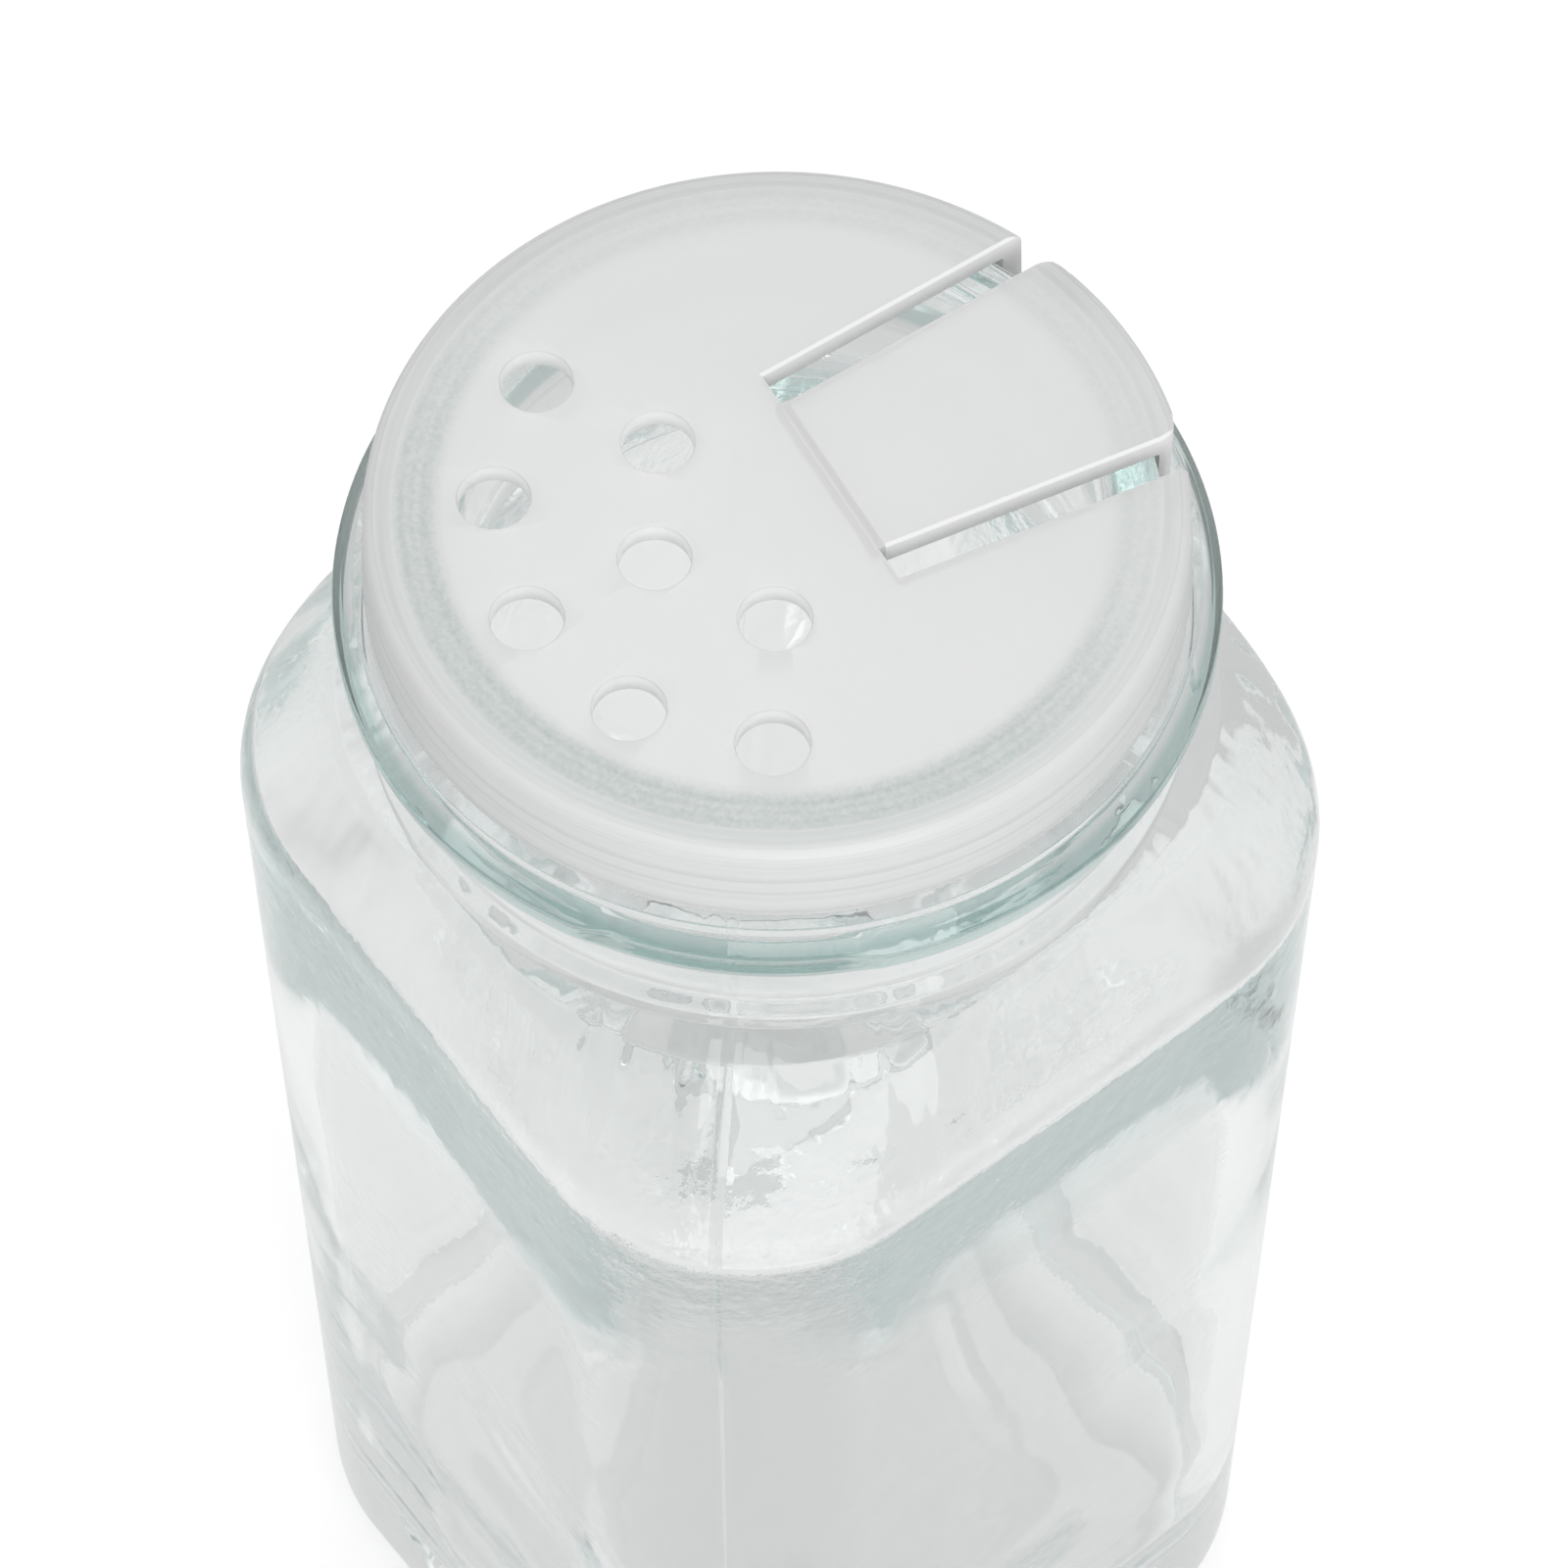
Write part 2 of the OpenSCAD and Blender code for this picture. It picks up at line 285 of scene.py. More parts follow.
def makeUnevenness():
    # slow and fine unevenness of a moulded skin, as one height
    tree = bpy.data.node_groups.new("mouldedSkin", "ShaderNodeTree")
    treeInputs(tree, [("Slow Length", "NodeSocketFloat"), ("Fine Length", "NodeSocketFloat"), ("Fine Share", "NodeSocketFloat")])
    tree.interface.new_socket("Height", in_out="OUTPUT", socket_type="NodeSocketFloat")
    given = addNode(tree, "NodeGroupInput").outputs
    where = addNode(tree, "ShaderNodeTexCoord").outputs["Object"]
    slow = addNode(tree, "ShaderNodeTexNoise")
    feed(tree, where, slow.inputs["Vector"])
    feed(tree, calc(tree, "DIVIDE", 1.0, given["Slow Length"]), slow.inputs["Scale"])
    feed(tree, 1.0, slow.inputs["Detail"])
    fine = addNode(tree, "ShaderNodeTexNoise")
    feed(tree, where, fine.inputs["Vector"])
    feed(tree, calc(tree, "DIVIDE", 1.0, given["Fine Length"]), fine.inputs["Scale"])
    feed(tree, 2.0, fine.inputs["Detail"])
    share = calc(tree, "MULTIPLY", fine.outputs[0], given["Fine Share"])
    out = addNode(tree, "NodeGroupOutput")
    feed(tree, calc(tree, "ADD", slow.outputs[0], share), out.inputs[0])
    return tree


mouldedSkin = makeUnevenness()


def skinHeight(tree, slow, fine, share):
    node = addNode(tree, "ShaderNodeGroup", node_tree=mouldedSkin)
    node.inputs["Slow Length"].default_value = slow
    node.inputs["Fine Length"].default_value = fine
    node.inputs["Fine Share"].default_value = share
    return node.outputs[0]


glassLook = {
    "tint": (0.985, 0.993, 0.991, 1), "beadShadeTint": (0.46, 0.63, 0.60, 1), "beadRadii": (0.0199, 0.0204), "beadFoot": 0.0955,
    "bodyColour": (0.53, 0.76, 0.73, 1), "bodyDensity": 6.2,
    "roughness": 0.02, "ior": 1.51, "hammerDepth": 0.00004, "seamWidth": 0.00040, "seamDepth": 0.00003,
    "shoulderLow": 0.0740, "shoulderHigh": 0.0805, "blotchLength": 0.0060, "blotchDepth": 0.00016,
    "runLength": 0.0030, "runStretch": 0.25, "runRadius": 0.022, "runDepth": 0.00030,
}


def downhillRuns(tree, place):
    # soft streaks that run down the shoulder from the neck
    look = glassLook
    flat = addNode(tree, "ShaderNodeCombineXYZ")
    feed(tree, place.outputs["X"], flat.inputs["X"])
    feed(tree, place.outputs["Y"], flat.inputs["Y"])
    outward = addNode(tree, "ShaderNodeVectorMath", operation="NORMALIZE")
    feed(tree, flat.outputs[0], outward.inputs[0])
    around = addNode(tree, "ShaderNodeVectorMath", operation="SCALE")
    feed(tree, outward.outputs[0], around.inputs[0])
    feed(tree, look["runRadius"], around.inputs["Scale"])
    level = addNode(tree, "ShaderNodeCombineXYZ")
    feed(tree, calc(tree, "MULTIPLY", place.outputs["Z"], look["runStretch"]), level.inputs["Z"])
    spot = addNode(tree, "ShaderNodeVectorMath", operation="ADD")
    feed(tree, around.outputs[0], spot.inputs[0])
    feed(tree, level.outputs[0], spot.inputs[1])
    runs = addNode(tree, "ShaderNodeTexNoise")
    feed(tree, spot.outputs[0], runs.inputs["Vector"])
    feed(tree, 1 / look["runLength"], runs.inputs["Scale"])
    feed(tree, 1.5, runs.inputs["Detail"])
    return runs.outputs[0]


def makeGlass():
    material, tree, shader = newMaterial("clearGlass")
    look = glassLook
    shader.inputs["Roughness"].default_value = look["roughness"]
    shader.inputs["IOR"].default_value = look["ior"]
    shader.inputs["Transmission Weight"].default_value = 1.0
    absorb = addNode(tree, "ShaderNodeVolumeAbsorption")
    absorb.inputs["Color"].default_value = look["bodyColour"]
    absorb.inputs["Density"].default_value = look["bodyDensity"]
    tree.links.new(absorb.outputs[0], tree.nodes["Material Output"].inputs["Volume"])
    place = addNode(tree, "ShaderNodeSeparateXYZ")
    feed(tree, addNode(tree, "ShaderNodeTexCoord").outputs["Object"], place.inputs[0])
    # painted shade: the closure bead is painted a deeper green, standing in for light that runs round inside it
    radius = addNode(tree, "ShaderNodeVectorMath", operation="LENGTH")
    level = addNode(tree, "ShaderNodeCombineXYZ")
    feed(tree, place.outputs["X"], level.inputs["X"])
    feed(tree, place.outputs["Y"], level.inputs["Y"])
    feed(tree, level.outputs[0], radius.inputs[0])
    onBead = calc(tree, "MULTIPLY", mapRange(tree, radius.outputs["Value"], *look["beadRadii"], 0.0, 1.0),
                  calc(tree, "GREATER_THAN", place.outputs["Z"], look["beadFoot"]))
    tinted = addNode(tree, "ShaderNodeMix", data_type="RGBA")
    feed(tree, onBead, tinted.inputs["Factor"])
    tinted.inputs["A"].default_value = look["tint"]
    tinted.inputs["B"].default_value = look["beadShadeTint"]
    feed(tree, tinted.outputs["Result"], shader.inputs["Base Color"])
    # hammered look on the shoulder, fading out up the neck and down the walls
    up = mapRange(tree, place.outputs["Z"], look["shoulderLow"] - 0.004, look["shoulderLow"] + 0.004, 0.06, 1.0)
    down = mapRange(tree, place.outputs["Z"], look["shoulderHigh"], look["shoulderHigh"] + 0.003, 1.0, 0.06)
    hammered = calc(tree, "MULTIPLY", skinHeight(tree, 0.0014, 0.0005, 0.4), calc(tree, "MULTIPLY", up, down))
    # slow blotches higher on the shoulder
    rising = mapRange(tree, place.outputs["Z"], 0.0790, 0.0830, 0.0, 1.0)
    ending = mapRange(tree, place.outputs["Z"], 0.0890, 0.0915, 1.0, 0.0)
    blotches = calc(tree, "ADD",
                    calc(tree, "MULTIPLY", skinHeight(tree, look["blotchLength"], look["blotchLength"] / 3, 0.1), look["blotchDepth"]),
                    calc(tree, "MULTIPLY", downhillRuns(tree, place), look["runDepth"]))
    blotches = calc(tree, "MULTIPLY", blotches, calc(tree, "MULTIPLY", rising, ending))
    # raised line where the halves of the mould met, on two opposite corners
    offSeam = calc(tree, "ABSOLUTE", calc(tree, "MULTIPLY", calc(tree, "ADD", place.outputs["X"], place.outputs["Y"]), math.sqrt(0.5)))
    line = mapRange(tree, offSeam, 0.0, look["seamWidth"], 1.0, 0.0)
    height = calc(tree, "ADD", calc(tree, "MULTIPLY", hammered, look["hammerDepth"]), calc(tree, "MULTIPLY", line, look["seamDepth"]))
    height = calc(tree, "ADD", height, blotches)
    bump = addNode(tree, "ShaderNodeBump")
    bump.inputs["Strength"].default_value = 1.0
    bump.inputs["Distance"].default_value = 1.0
    feed(tree, height, bump.inputs["Height"])
    tree.links.new(bump.outputs[0], shader.inputs["Normal"])
    return material


def makeLipRing():
    # a mask of painted shade on a flat ring about the upright axis, where the glass lip shows through the plate, and
    # fine round lines inside it
    tree = bpy.data.node_groups.new("lipRing", "ShaderNodeTree")
    treeInputs(tree, [(name, "NodeSocketFloat") for name in (
        "Inner", "Outer", "Edge", "Softness", "Fade", "Line Width", "Spacing", "Speckle Length", "Shade Turn", "Streak Length")])
    tree.interface.new_socket("Mask", in_out="OUTPUT", socket_type="NodeSocketFloat")
    tree.interface.new_socket("Lines", in_out="OUTPUT", socket_type="NodeSocketFloat")
    tree.interface.new_socket("Streaks", in_out="OUTPUT", socket_type="NodeSocketFloat")
    tree.interface.new_socket("Radius", in_out="OUTPUT", socket_type="NodeSocketFloat")
    given = addNode(tree, "NodeGroupInput").outputs
    where = addNode(tree, "ShaderNodeTexCoord").outputs["Object"]
    place = addNode(tree, "ShaderNodeSeparateXYZ")
    feed(tree, where, place.inputs[0])
    x, y = place.outputs["X"], place.outputs["Y"]
    radius = calc(tree, "SQRT", calc(tree, "ADD", calc(tree, "MULTIPLY", x, x), calc(tree, "MULTIPLY", y, y)))
    rise = mapRange(tree, radius, calc(tree, "SUBTRACT", given["Inner"], given["Softness"]), given["Inner"], 0.0, 1.0)
    fall = mapRange(tree, radius, given["Outer"], calc(tree, "ADD", given["Outer"], given["Fade"]), 1.0, 0.0)
    wave = calc(tree, "SINE", calc(tree, "DIVIDE", calc(tree, "MULTIPLY", radius, 2 * math.pi), given["Spacing"]))
    speckle = addNode(tree, "ShaderNodeTexNoise")
    feed(tree, where, speckle.inputs["Vector"])
    feed(tree, calc(tree, "DIVIDE", 1.0, given["Speckle Length"]), speckle.inputs["Scale"])
    # fine speckle and turning lines let the lip show unevenly
    uneven = calc(tree, "ADD", mapRange(tree, speckle.outputs[0], 0.35, 0.65, 0.55, 1.0), calc(tree, "MULTIPLY", wave, 0.08))
    mask = calc(tree, "MULTIPLY", calc(tree, "MULTIPLY", rise, fall), calc(tree, "MULTIPLY", uneven, 0.77))
    # painted shade: a thin dark line at either side of the ring, and one where the rim begins to turn down
    for at, depth in ((given["Inner"], 0.20), (given["Outer"], 0.12), (given["Edge"], 0.45)):
        off = calc(tree, "ABSOLUTE", calc(tree, "SUBTRACT", radius, at))
        mask = calc(tree, "ADD", mask, mapRange(tree, off, 0.0, given["Line Width"], depth, 0.0))
    # painted shade: the ring is darker towards one side
    toSide = calc(tree, "ADD", calc(tree, "MULTIPLY", x, calc(tree, "COSINE", given["Shade Turn"])),
                  calc(tree, "MULTIPLY", y, calc(tree, "SINE", given["Shade Turn"])))
    mask = calc(tree, "MULTIPLY", mask, mapRange(tree, calc(tree, "DIVIDE", toSide, radius), -0.6, 0.7, 0.35, 1.0))
    # uneven level streaks over the rim and down the skirt
    level = calc(tree, "SUBTRACT", radius, place.outputs["Z"])
    streak = addNode(tree, "ShaderNodeTexNoise", noise_dimensions="1D")
    feed(tree, calc(tree, "DIVIDE", level, given["Streak Length"]), streak.inputs["W"])
    feed(tree, 1.0, streak.inputs["Scale"])
    feed(tree, 1.5, streak.inputs["Detail"])
    beyond = mapRange(tree, radius, given["Outer"], calc(tree, "ADD", given["Outer"], given["Fade"]), 0.0, 1.0)
    streaks = calc(tree, "MULTIPLY", mapRange(tree, streak.outputs[0], 0.45, 0.72, 0.0, 1.0), beyond)
    out = addNode(tree, "NodeGroupOutput")
    feed(tree, mask, out.inputs["Mask"])
    feed(tree, calc(tree, "MULTIPLY", wave, mask), out.inputs["Lines"])
    feed(tree, streaks, out.inputs["Streaks"])
    feed(tree, radius, out.inputs["Radius"])
    return tree


plasticLook = {
    "tint": (0.925, 0.93, 0.928, 1), "ringShadeTint": (0.64, 0.70, 0.675, 1), "topRoughness": 0.28, "underRoughness": 0.42,
    "ior": 1.45, "transmission": 0.38, "grainDepth": 0.00002, "speckleLength": 0.00022,
    "ringInner": 0.01615, "ringOuter": 0.01735, "rimEdge": 0.01822, "ringSoftness": 0.00095, "ringFade": 0.0005,
    "ringLine": 0.00034,
    "lineSpacing": 0.00045, "lineDepth": 0.00001, "shadeTurn": -65.0,
    "streakLength": 0.00050, "streakShare": 0.34, "streakDepth": 0.00002, "wallHeights": (0.10446, 0.10560), "paintedWallGlow": 0.17, "hingeAt": 0.0028, "hingeHalf": 0.0005, "flapTurn": 80.6,
}


def makePlastic():
    material, tree, shader = newMaterial("insertPlastic")
    look = plasticLook
    shader.inputs["IOR"].default_value = look["ior"]
    shader.inputs["Transmission Weight"].default_value = look["transmission"]
    place = addNode(tree, "ShaderNodeSeparateXYZ")
    feed(tree, addNode(tree, "ShaderNodeTexCoord").outputs["Object"], place.inputs[0])
    frosted = mapRange(tree, place.outputs["Z"], 0.1044, 0.1056, look["underRoughness"], look["topRoughness"])
    feed(tree, frosted, shader.inputs["Roughness"])
    # painted shade: the part that lies on the glass lip is painted darker and greener, as the lip shows through, with
    # fine turning lines
    ring = addNode(tree, "ShaderNodeGroup", node_tree=lipRing)
    ring.inputs["Inner"].default_value = look["ringInner"]
    ring.inputs["Outer"].default_value = look["ringOuter"]
    ring.inputs["Softness"].default_value = look["ringSoftness"]
    ring.inputs["Fade"].default_value = look["ringFade"]
    ring.inputs["Edge"].default_value = look["rimEdge"]
    ring.inputs["Line Width"].default_value = look["ringLine"]
    ring.inputs["Shade Turn"].default_value = math.radians(look["shadeTurn"])
    ring.inputs["Speckle Length"].default_value = look["speckleLength"]
    ring.inputs["Spacing"].default_value = look["lineSpacing"]
    tinted = addNode(tree, "ShaderNodeMix", data_type="RGBA")
    ring.inputs["Streak Length"].default_value = look["streakLength"]
    streaks = calc(tree, "MULTIPLY", ring.outputs["Streaks"], look["streakShare"])
    feed(tree, calc(tree, "MAXIMUM", ring.outputs["Mask"], streaks), tinted.inputs["Factor"])
    tinted.inputs["A"].default_value = look["tint"]
    tinted.inputs["B"].default_value = look["ringShadeTint"]
    feed(tree, tinted.outputs["Result"], shader.inputs["Base Color"])
    bump = addNode(tree, "ShaderNodeBump")
    bump.inputs["Strength"].default_value = 1.0
    bump.inputs["Distance"].default_value = 1.0
    grain = calc(tree, "MULTIPLY", skinHeight(tree, 0.004, 0.0005, 0.12), look["grainDepth"])
    lines = calc(tree, "MULTIPLY", ring.outputs["Lines"], look["lineDepth"])
    lines = calc(tree, "ADD", lines, calc(tree, "MULTIPLY", ring.outputs["Streaks"], look["streakDepth"]))
    feed(tree, calc(tree, "ADD", grain, lines), bump.inputs["Height"])
    # painted light: the cut walls of the holes and slots glow in the plastic's own colour, standing in for light a
    # translucent plate passes on from inside
    low, high = look["wallHeights"]
    wall = calc(tree, "MULTIPLY", mapRange(tree, place.outputs["Z"], high - 0.0001, high, 1.0, 0.0),
                mapRange(tree, place.outputs["Z"], low, low + 0.0001, 0.0, 1.0))
    wall = calc(tree, "MULTIPLY", wall, mapRange(tree, ring.outputs["Radius"], 0.0184, 0.0188, 1.0, 0.0))
    # the painted glow is left off where the plate, the strip and the flap meet inside the plastic
    turn = math.radians(look["flapTurn"])
    along = calc(tree, "ADD", calc(tree, "MULTIPLY", place.outputs["X"], math.cos(turn)),
                 calc(tree, "MULTIPLY", place.outputs["Y"], math.sin(turn)))
    offHinge = calc(tree, "ABSOLUTE", calc(tree, "SUBTRACT", along, look["hingeAt"]))
    wall = calc(tree, "MULTIPLY", wall, mapRange(tree, offHinge, look["hingeHalf"], look["hingeHalf"] + 0.0002, 0.0, 1.0))
    # painted light: emission in the plastic's own colour on the walls
    glow = addNode(tree, "ShaderNodeMix", data_type="RGBA")
    feed(tree, wall, glow.inputs["Factor"])
    glow.inputs["A"].default_value = (0, 0, 0, 1)
    glow.inputs["B"].default_value = look["tint"]
    feed(tree, glow.outputs["Result"], shader.inputs["Emission Color"])
    shader.inputs["Emission Strength"].default_value = look["paintedWallGlow"]
    tree.links.new(bump.outputs[0], shader.inputs["Normal"])
    return material


lipRing = makeLipRing()
glassMaterial = makeGlass()
plasticMaterial = makePlastic()
print("finishes made")

# ---- glass jar

jar = {
    "half": 22.25, "corner": 11.4, "jarHeight": 104.4, "wall": 2.7, "floor": 4.6, "heel": 4.7,
    "hollowDepth": 1.2, "hollowRadius": 13.5, "wallTop": 79.7, "neckFoot": 90.8,
    "neck": 19.3, "collar": 19.8, "bead": 20.85, "lowerBead": 19.9, "lip": 17.9, "groove": 17.5, "mouth": 15.0,
    "outerWave": 0.07, "innerWave": 0.40, "shoulderWave": 0.16, "baseWave": 4.0, "waveLength": 0.018, "seed": 3.7, "segments": 216,
    "boreEnd": 91.2, "neckEase": 1.5, "turnSharpness": 1.15, "innerTurn": 79.6, "thinning": 0.9, "thinningFrom": 62.0,
    "cornerShare": 2.4,
    "innerFoot": 9.0, "lean": 2.2, "leanTurn": 20.0, "seamTurn": -45.0,
}


def jarOutline():
    j = jar
    rows = []

    def add(half, corner, height, wave=0.0, relief=0.0, lean=0.0):
        rows.append((half, corner, height, wave, relief, lean))

    def addRound(points, wave=0.0):
        for r, z in points:
            add(r, r, z, wave)

    # hollow under the foot
    addRound(fillIn(roundOff([
        (0, j["hollowDepth"], 0), (j["hollowRadius"] - 2.4, j["hollowDepth"], 1.2),
        (j["hollowRadius"] - 0.2, 0.25, 0.9), (j["hollowRadius"] + 1.0, 0, 0)]), 2.5))
    start = (j["hollowRadius"] + 1.0, j["hollowRadius"] + 1.0)
    end = (j["half"] - j["heel"], j["corner"] - j["heel"])
    for n in range(1, 5):
        add(start[0] + (end[0] - start[0]) * n / 4, start[1] + (end[1] - start[1]) * n / 4, 0)
    for n in range(1, 13):
        a = math.radians(90 * n / 12)
        inset = j["heel"] * (1 - math.sin(a))
        add(j["half"] - inset, j["corner"] - inset, j["heel"] * (1 - math.cos(a)), j["outerWave"] * n / 12)
    for n in range(1, 37):
        add(j["half"], j["corner"], j["heel"] + (j["wallTop"] - j["heel"]) * n / 36, j["outerWave"])
    # shoulder, from the walls in to the foot of the neck
    shoulderSteps = 30
    topHalf, topReach = 19.7, 21.1
    wallReach = j["half"] * math.sqrt(2) - j["corner"] * (math.sqrt(2) - 1)
    for n in range(1, shoulderSteps + 1):
        t = 1 - n / shoulderSteps
        half = topHalf + (j["half"] - topHalf) * math.sin(math.radians(90 * t)) ** 1.25
        reach = topReach + (wallReach - topReach) * math.sin(math.radians(90 * t))
        corner = min(half, (half * math.sqrt(2) - reach) / (math.sqrt(2) - 1))
        wave = j["outerWave"] + (j["shoulderWave"] - j["outerWave"]) * math.sin(math.radians(180 * t))
        add(half, corner, j["wallTop"] + (j["neckFoot"] - j["wallTop"]) * n / shoulderSteps, wave * min(1, t * 6))
    # neck with its lower bead, closure bead, collar and lip
    neckTop = j["jarHeight"]
    addRound(fillIn(roundOff([
        (topHalf - 0.1, j["neckFoot"] + 0.05, 0), (j["neck"] + 0.1, j["neckFoot"] + 0.25, 0.2),
        (j["lowerBead"], neckTop - 12.9, 0.5), (j["lowerBead"], neckTop - 11.8, 0.5),
        (j["neck"], neckTop - 11.1, 0.6), (j["neck"], neckTop - 7.9, 0.8)]), 0.5))
    for r, z in fillIn(roundOff([
            (j["neck"], neckTop - 7.7, 0), (j["neck"] + 0.95, neckTop - 7.2, 0.8), (j["bead"], neckTop - 6.4, 0.6),
            (j["bead"], neckTop - 5.4, 0.55), (j["collar"] + 0.55, neckTop - 4.85, 0.6), (j["collar"], neckTop - 4.4, 0.3),
            (j["collar"], neckTop - 3.95, 0)]), 0.35):
        upper = max(0.0, min(1.0, (z - (neckTop - 6.9)) / 1.0)) * max(0.0, min(1.0, (r - j["collar"]) / 0.5))
        add(r, r, z, 0, 0.42 * upper)
    addRound(fillIn(roundOff([
        (j["collar"], neckTop - 3.95, 0), (j["collar"], neckTop - 3.8, 0.12), (j["groove"], neckTop - 3.8, 0.2),
        (j["groove"], neckTop - 2.1, 0.3), (j["lip"], neckTop - 1.7, 0.3), (j["lip"], neckTop, 0.75),
        (j["mouth"] + 0.1, neckTop, 0.8), (j["mouth"], neckTop - 1.6, 1.0)], 7), 0.4))
    # bore of the neck
    boreSteps, boreEnd, boreFoot = 12, j["boreEnd"], j["mouth"] + 0.3
    for n in range(1, boreSteps + 1):
        share = n / boreSteps
        r = j["mouth"] + (boreFoot - j["mouth"]) * share
        add(r, r, neckTop - 1.6 - (neckTop - 1.6 - boreEnd) * share, j["innerWave"] * 0.2 * share)
    # inner shoulder, which turns into the walls quickly, and the walls, thinner near the top
    innerHalf, innerCorner = j["half"] - j["wall"], j["corner"] - j["wall"]
    for n in range(1, 37):
        t = n / 36
        swell = 1 - (1 - t ** j["neckEase"]) ** j["turnSharpness"]
        half = boreFoot + (innerHalf + j["thinning"] - boreFoot) * swell
        corner = boreFoot + (innerCorner + j["thinning"] * j["cornerShare"] - boreFoot) * swell
        add(half, corner, boreEnd + (j["innerTurn"] - boreEnd) * t, j["innerWave"] * (0.2 + 0.8 * t), 0, j["lean"] * t * t)
    bend, thinFrom = j["innerFoot"], j["thinningFrom"]
    low = j["floor"] + bend
    for n in range(1, 49):
        z = j["innerTurn"] + (low - j["innerTurn"]) * (n / 48) ** 1.2
        share = max(0.0, (z - thinFrom) / (j["innerTurn"] - thinFrom))
        thin = j["thinning"] * share ** 2
        wave = j["innerWave"] * (1 + j["baseWave"] * max(0.0, 1 - z / 50))
        add(innerHalf + thin, innerCorner + thin * j["cornerShare"], z, wave, 0, j["lean"] * share ** 0.5)
    wave = j["innerWave"] * (1 + j["baseWave"])
    for n in range(1, 15):
        a = math.radians(90 * (1 - n / 14))
        inset = bend * (1 - math.sin(a))
        add(innerHalf - inset, innerCorner - min(inset, innerCorner - 2), j["floor"] + bend * (1 - math.cos(a)), wave)
    flatHalf, flatCorner = innerHalf - bend, innerCorner - min(bend, innerCorner - 2)
    for n in range(1, 13):
        share = 1 - n / 12
        half = flatHalf * share
        corner = half * (1 - share) + flatCorner * share * share
        add(half, min(half, corner), j["floor"] + 0.5 * (1 - share * share), wave * share)
    return rows


jarPiece = loft("glassJar", jarOutline(), glassMaterial, jar["segments"], jar["waveLength"], jar["seed"], jar["seamTurn"],
                jar["leanTurn"])
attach(jarPiece, "jar")
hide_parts("glass_jar")
print("glass jar:", len(jarPiece.data.polygons), "faces")

# ---- shaker insert: one turned blank, cut into the fixed plate and the flap

insert = {
    "top": 105.7, "under": 104.45, "foot": 100.9, "inner": 18.02, "skirt": 1.0, "flare": 0.3, "rim": 0.8, "snap": 17.98,
    "holeDiameter": 3.4, "outerCircle": 13.0, "innerCircle": 6.4, "turn": 80.6, "segments": 288,
    "hingeAt": 2.8, "flapWidth": 9.2, "slot": 1.8, "splay": 4.5, "strip": 0.6, "stripThickness": 0.45, "edge": 0.14,
    "cornerRadius": 1.2,
}


def insertBlank(name):
    i = insert
    outer = i["inner"] + i["skirt"]
    rows = fillIn(roundOff([
        (0, i["under"], 0), (i["inner"], i["under"], 0.12), (i["inner"], i["foot"] + 1.0, 0.2),
        (i["snap"], i["foot"] + 0.75, 0.2), (i["snap"], i["foot"] + 0.25, 0.2), (i["snap"] + 0.2, i["foot"], 0.15),
        (outer + i["flare"], i["foot"], 0.25), (outer, i["top"], i["rim"]), (0, i["top"], 0)], 7), 2.2)
    return loft(name, [(r, r, z, 0, 0, 0) for r, z in rows], plasticMaterial, i["segments"])


def turned(points):
    # from the insert's own axes, with x along the flap, to the row's
    spin = Matrix.Rotation(math.radians(insert["turn"]), 3, "Z")
    return [tuple(spin @ Vector(p) * mm) for p in points]


def flapPlan(start, wider, ease):
    # plan of the flap from the hinge line past the rim, with corners rounded where it meets the rim
    i = insert
    rim = i["inner"] + i["skirt"]
    slope = math.tan(math.radians(i["splay"]))

    def side(x):
        return i["flapWidth"] / 2 + (x - i["hingeAt"]) * slope + wider

    r = i["cornerRadius"] * (1 if wider > 0 else -1)
    points = [(start, side(start) + ease)]
    for n in range(7):
        a = math.radians(90 * n / 6)
        x = rim - 0.75 - i["cornerRadius"] * (1 - math.sin(a))
        points.append((x, side(x) + ease + r * (1 - math.cos(a))))
    points.append((rim + 4, points[-1][1] + r * 2.2))
    return points + [(x, -y) for x, y in reversed(points)]


def flapSolid(name, start, wider):
    # the cutter's top and bottom edges spread a little, so that cut edges come out eased
    i = insert
    sign = 1 if wider > 0 else -1
    levels = [(i["foot"] - 1, 0.14 * sign), (i["foot"], i["edge"] * sign), (i["foot"] + i["edge"], 0), (i["top"] - i["edge"], 0),
              (i["top"], i["edge"] * sign), (i["top"] + 1, i["edge"] * sign * 2)]
    points, faces = [], []
    for z, ease in levels:
        points += [(x, y, z) for x, y in flapPlan(start - ease if wider > 0 else start, wider, ease)]
    count = len(points) // len(levels)
    for k in range(len(levels) - 1):
        for n in range(count):
            m = (n + 1) % count
            faces.append((k * count + n, k * count + m, (k + 1) * count + m, (k + 1) * count + n))
    faces.append(tuple(reversed(range(count))))
    faces.append(tuple(range((len(levels) - 1) * count, len(levels) * count)))
    solid = meshObject(name, turned(points), faces)
    work = bmesh.new()
    work.from_mesh(solid.data)
    bmesh.ops.recalc_face_normals(work, faces=work.faces)
    work.to_mesh(solid.data)
    work.free()
    return solid


